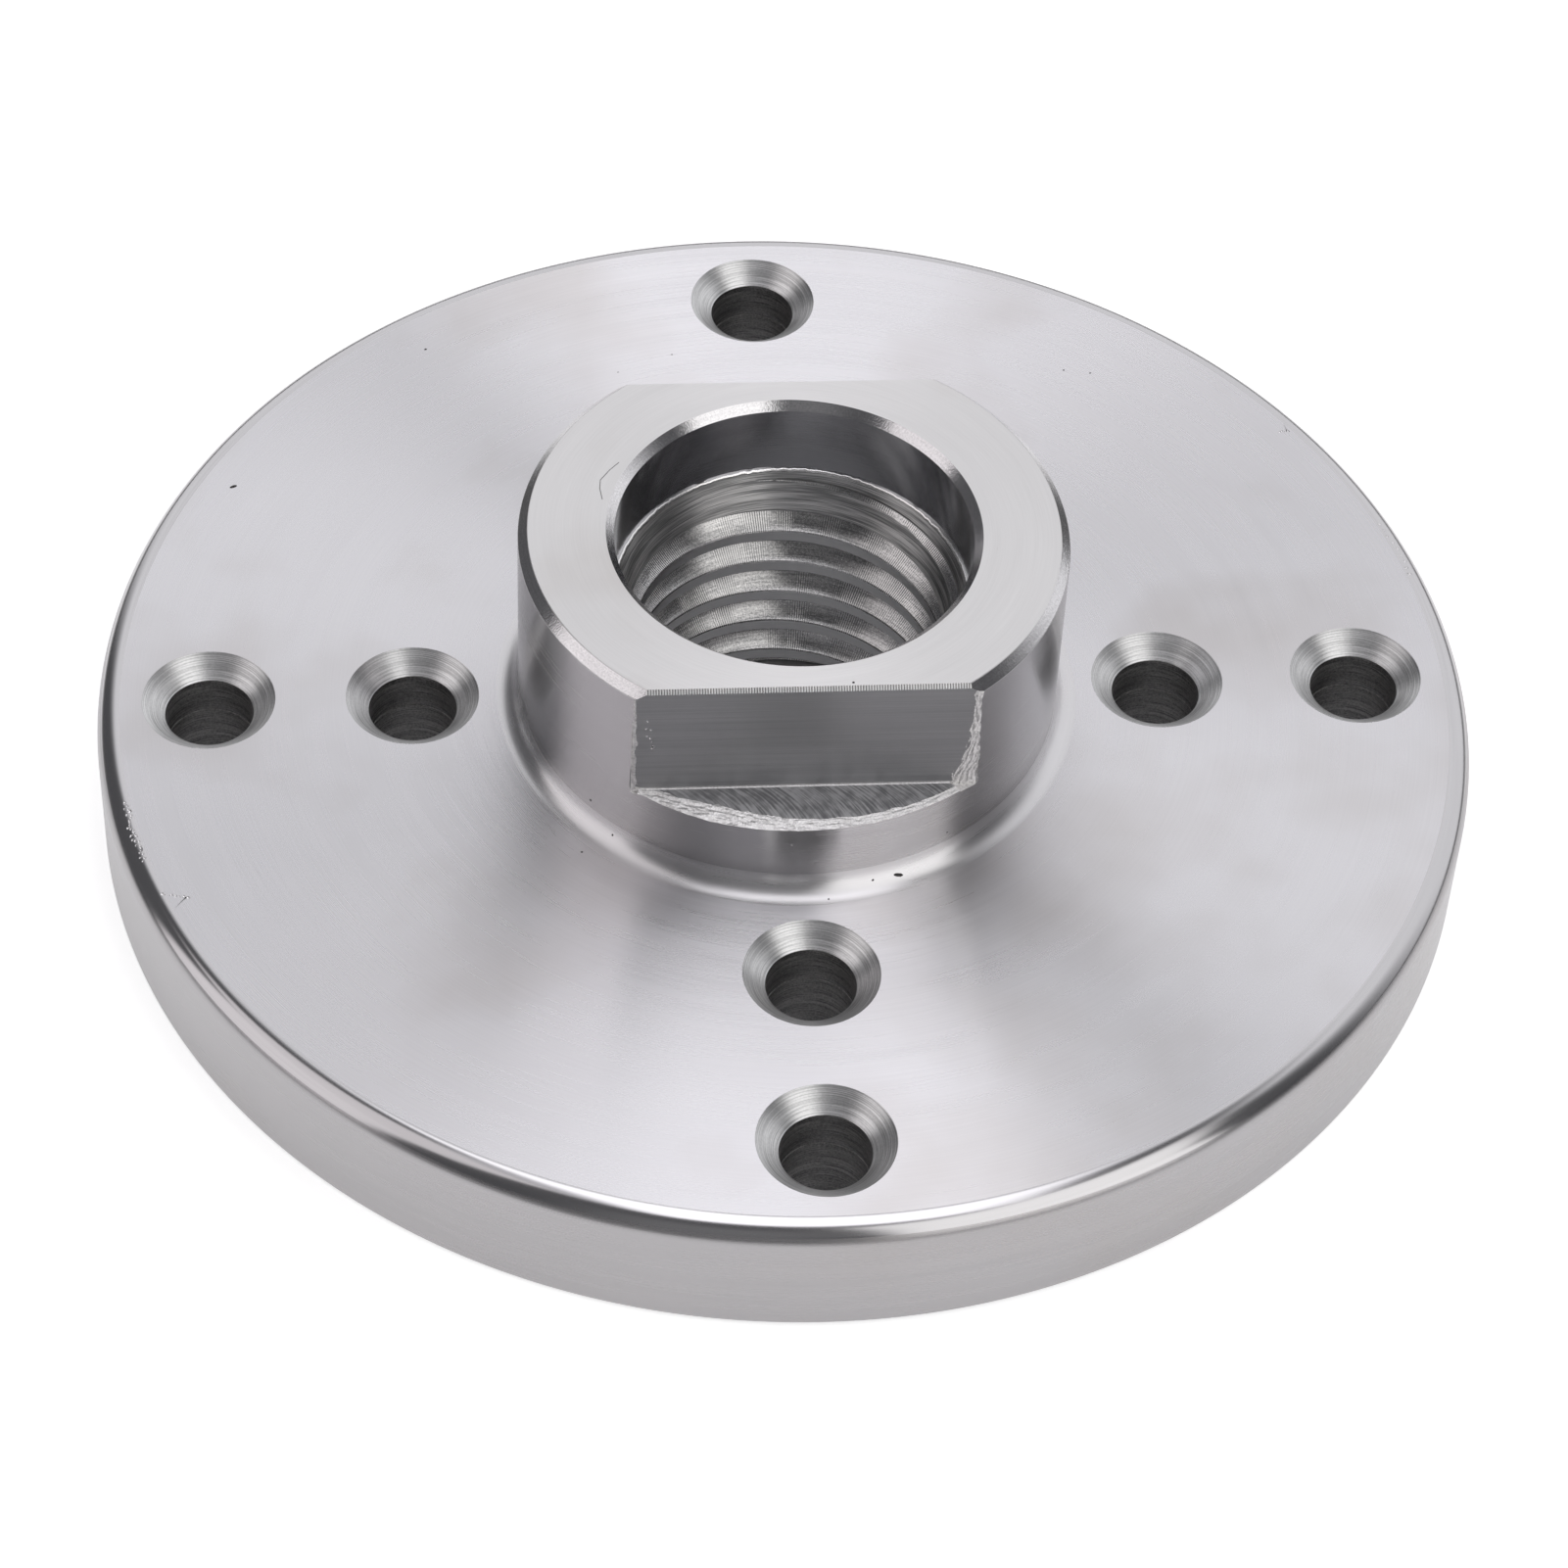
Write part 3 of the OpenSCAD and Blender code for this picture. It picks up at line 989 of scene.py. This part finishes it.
mesh = faceplate.data
loops = len(mesh.loops)
true_normals = np.zeros(loops * 3)
mesh.attributes["true_normal"].data.foreach_get("vector", true_normals)
true_normals = true_normals.reshape(-1, 3)
lengths = np.linalg.norm(true_normals, axis=1, keepdims=True)
true_normals /= np.maximum(lengths, 1e-9)
face_normals = np.zeros(len(mesh.polygons) * 3)
mesh.polygons.foreach_get("normal", face_normals)
corner_counts = np.zeros(len(mesh.polygons), int)
mesh.polygons.foreach_get("loop_total", corner_counts)
flat_normals = np.repeat(face_normals.reshape(-1, 3), corner_counts, axis=0)
agreement = np.sum(true_normals * flat_normals, axis=1)
true_normals[agreement < 0] *= -1
mesh.polygons.foreach_set("use_smooth", np.ones(len(mesh.polygons), bool))
mesh.normals_split_custom_set([tuple(n) for n in true_normals])
mesh.attributes.remove(mesh.attributes["true_normal"])
mesh.update()

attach(faceplate, "root")
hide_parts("faceplate")


# Floor: a wide sheet of matt white board that the faceplate rests on. It glows white to the camera.
# In the steel's reflections it glows only round the plate, further out its colour turns dark grey,
# which is painted shade, and under the plate it has no glow.
floor_size = 4.0
floor_drop = 0.0002
plate_r = 50.0 * mm
plate_shade = 0.5 * mm
lit_r = 75 * mm
unlit_r = 120 * mm
seen_glow = 0.6
mirrored_glow = 0.4

board = bpy.data.materials.new("white_board")
board.use_nodes = True
board_shader = board.node_tree.nodes["Principled BSDF"]
grain_map = add(board, "ShaderNodeTexCoord").outputs["Object"]
board_tone = blend_colour(board, cloud(board, grain_map, 900.0, 3.0),
                          (0.80, 0.80, 0.80), (0.84, 0.84, 0.84))
rays = add(board, "ShaderNodeLightPath")
from_middle = add(board, "ShaderNodeVectorMath", {0: grain_map}, operation="LENGTH").outputs["Value"]
beside_plate = spread(board, from_middle, plate_r, plate_r + plate_shade, 0.0, 1.0)
far_away = spread(board, from_middle, lit_r, unlit_r, 0.0, 1.0)
# Painted shade: far from the plate the board is coloured dark grey, for reflections only.
far_painted_shade = times(board, far_away, rays.outputs["Is Glossy Ray"])
board.node_tree.links.new(blend_colour(board, far_painted_shade, board_tone, (0.10, 0.10, 0.10)),
                          board_shader.inputs["Base Color"])
board_shader.inputs["Roughness"].default_value = 0.9
board_shader.inputs["Specular IOR Level"].default_value = 0.1
mirrored = times(board, rays.outputs["Is Glossy Ray"],
                 maths(board, "SUBTRACT", 1.0, far_away))
lit = maths(board, "ADD", times(board, rays.outputs["Is Camera Ray"], seen_glow),
            times(board, mirrored, mirrored_glow))
board.node_tree.links.new(times(board, lit, beside_plate),
                          board_shader.inputs["Emission Strength"])
board_shader.inputs["Emission Color"].default_value = (1.0, 1.0, 1.0, 1.0)

floor_mesh = bpy.data.meshes.new("floor")
half = floor_size / 2
floor_corners = [(-half, -half, 0), (half, -half, 0), (half, half, 0), (-half, half, 0)]
floor_mesh.from_pydata(floor_corners, [], [(0, 1, 2, 3)])
floor_mesh.materials.append(board)
floor = bpy.data.objects.new("floor", floor_mesh)
floor.location.z = -floor_drop
bpy.context.scene.collection.objects.link(floor)


# Studio: a white room seen by the camera, with soft boxes that only the steel and the board see.
# around is measured from the camera's side towards the right, upward from the floor, sideways from
# the plane that runs from front to back, and overhead from the back, over the top, to the front.
warm_white = (1.0, 0.99, 0.98)
cool_white = (0.98, 0.97, 1.0)
rosy_white = (1.0, 0.96, 0.97)
pale_blue = (0.98, 0.98, 1.0)
plain_white = (1.0, 1.0, 1.0)
dim_room = (0.10, 0.10, 0.105)

studio = bpy.data.worlds.new("studio")
bpy.context.scene.world = studio
studio.use_nodes = True
studio.node_tree.nodes.clear()


def in_degrees(operation, *values):
    """An angle of the room, in degrees."""
    return times(studio, maths(studio, operation, *values), 180 / math.pi)


gaze = add(studio, "ShaderNodeTexCoord").outputs["Generated"]
compass = add(studio, "ShaderNodeSeparateXYZ", {0: gaze}).outputs
around = in_degrees("ARCTAN2", compass["X"], times(studio, compass["Y"], -1.0))
upward = in_degrees("ARCSINE", compass["Z"])
sideways = in_degrees("ARCSINE", compass["X"])
overhead = in_degrees("ARCTAN2", compass["Z"], compass["Y"])


def beyond(x, y, z):
    """How far a direction lies beyond a straight edge across the room, in degrees. The three
    numbers are the normal of the plane that holds the edge and the plate."""
    node = add(studio, "ShaderNodeVectorMath", {0: gaze, 1: (x, y, z)}, operation="DOT_PRODUCT")
    return in_degrees("ARCSINE", node.outputs["Value"])


def soft_edge(value, low, high, blur):
    """1 between two angles in degrees, and 0 outside them, with soft edges."""
    slopes = []
    for edge, before, after in ((low, 0.0, 1.0), (high, 1.0, 0.0)):
        slopes.append(add(studio, "ShaderNodeMapRange", {
            "Value": value, "From Min": edge - blur, "From Max": edge + blur,
            "To Min": before, "To Max": after,
        }, interpolation_type="SMOOTHSTEP").outputs["Result"])
    return times(studio, *slopes)


right_edge = beyond(-0.634, -0.680, 0.367)
strip_edge = beyond(-0.925, -0.217, 0.311)

# Each soft box as its strength, its tint and the windows that bound it. A window is an angle,
# where it starts and ends, and how soft its edges are.
soft_boxes = [
    (1.25, warm_white, (around, 13, 60, 3), (upward, -4, 30, 3)),
    (1.2, warm_white, (around, 13, 200, 3), (right_edge, 0, 99, 3), (upward, 30, 64, 3)),
    (0.55, cool_white, (sideways, -9.8, 14.5, 3), (overhead, 61, 105, 4)),
    (1.35, cool_white, (sideways, -9.8, 99, 3), (strip_edge, 0, 99, 1.5), (overhead, 61, 105, 4)),
    (0.5, cool_white, (sideways, -99, -9.8, 3), (overhead, 61, 105, 6), (upward, 71, 99, 3)),
    (0.9, rosy_white, (around, -103, -61, 3), (upward, -4, 44, 3)),
    (0.8, rosy_white, (around, -119, -58, 4), (upward, 44, 71, 3)),
    (0.1, plain_white, (around, -30, 5, 12), (upward, -4, 52, 12)),
    (0.84, pale_blue, (around, 96, 400, 18), (upward, -4, 59, 6)),
    (0.84, pale_blue, (around, -400, -147, 9), (upward, -4, 59, 6)),
]
room = dim_room
for strength, tint, *windows in soft_boxes:
    shape = soft_edge(*windows[0])
    for window in windows[1:]:
        shape = times(studio, shape, soft_edge(*window))
    glow = scaled(studio, tuple(c * strength for c in tint), shape)
    room = vectors(studio, "ADD", room, glow)

studio_rays = add(studio, "ShaderNodeLightPath")
look = blend_colour(studio, studio_rays.outputs["Is Camera Ray"], room, plain_white)
backdrop = add(studio, "ShaderNodeBackground", {"Color": look, "Strength": 1.0})
outlet = add(studio, "ShaderNodeOutputWorld")
studio.node_tree.links.new(backdrop.outputs[0], outlet.inputs["Surface"])

bpy.context.scene.view_settings.view_transform = "Standard"
